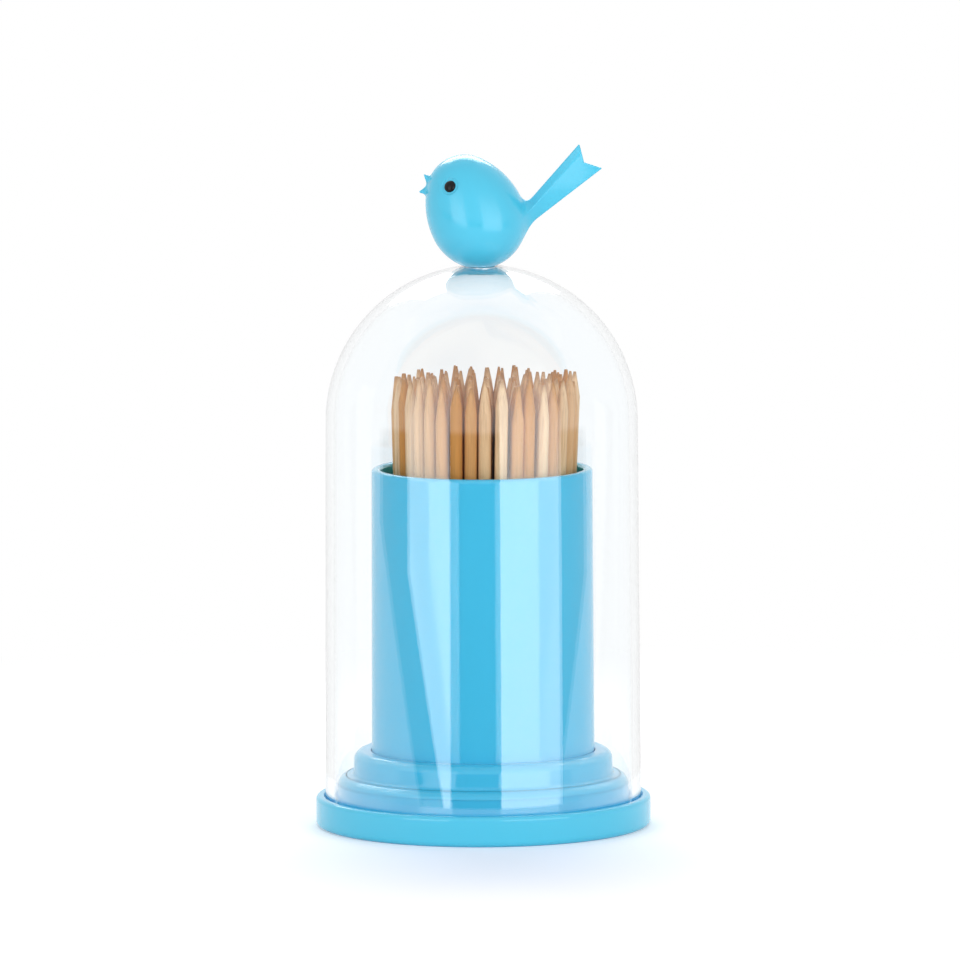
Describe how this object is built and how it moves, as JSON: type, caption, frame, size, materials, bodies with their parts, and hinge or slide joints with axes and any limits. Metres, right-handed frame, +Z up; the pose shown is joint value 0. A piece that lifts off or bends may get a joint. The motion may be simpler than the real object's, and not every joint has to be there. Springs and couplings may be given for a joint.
{
  "type": "toothpick dispenser",
  "caption": "Round stepped base with a cup of wooden toothpicks under a clear bell dome, lifted off by a small bird-shaped knob with a forked tail.",
  "frame": {"origin": "centre of the face the base stands on", "axes": "+Z up along the axis of the dome; the bird looks towards -X and its tail points to +X"},
  "size_m": [0.058, 0.058, 0.118],
  "materials": {
    "blue_plastic": "glossy, moulded",
    "clear_plastic": "clear, polished, moulded",
    "black_plastic": "glossy",
    "wood": "bare, turned and pointed"
  },
  "bodies": {
    "stand": {"base": "blue_plastic", "cup": "blue_plastic"},
    "lid": {"dome": "clear_plastic", "bird_left_shell": "blue_plastic", "bird_right_shell": "blue_plastic", "bird_eye_left": "black_plastic", "bird_eye_right": "black_plastic"},
    "sheaf": {"toothpicks": "wood"}
  },
  "joints": [
    {"name": "lid_lift", "type": "slide", "parent": "stand", "child": "lid", "axis": [0, 0, 1], "range_m": [0, 0.09]},
    {"name": "sheaf_lift", "type": "slide", "parent": "stand", "child": "sheaf", "axis": [0, 0, 1], "range_m": [0, 0.008]}
  ]
}
